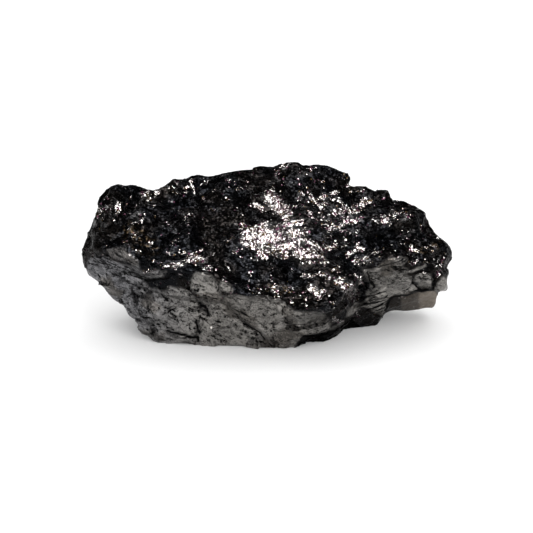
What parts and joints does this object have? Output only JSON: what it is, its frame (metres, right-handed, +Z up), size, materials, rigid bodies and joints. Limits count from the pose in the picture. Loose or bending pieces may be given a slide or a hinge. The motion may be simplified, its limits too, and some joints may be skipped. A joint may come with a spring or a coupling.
{
  "type": "shungite nugget",
  "caption": "Elongated broken nugget of glassy black rock with a hackly sloping top, smooth satin front faces and a level underside.",
  "frame": {"origin": "middle of the bounding box's bottom, on the surface that the stone rests on", "axes": "+X along the stone's length, towards its lower stepped end; +Y towards its back, away from the smooth front face; +Z up"},
  "size_m": [0.0622, 0.0338, 0.0267],
  "materials": {
    "noble_shungite": "black glassy stone with a semi-metallic lustre, sparkling where it is hackly and satin grey on its smooth broken faces"
  },
  "bodies": {
    "root": {"shungite_nugget": "noble_shungite"}
  },
  "joints": []
}
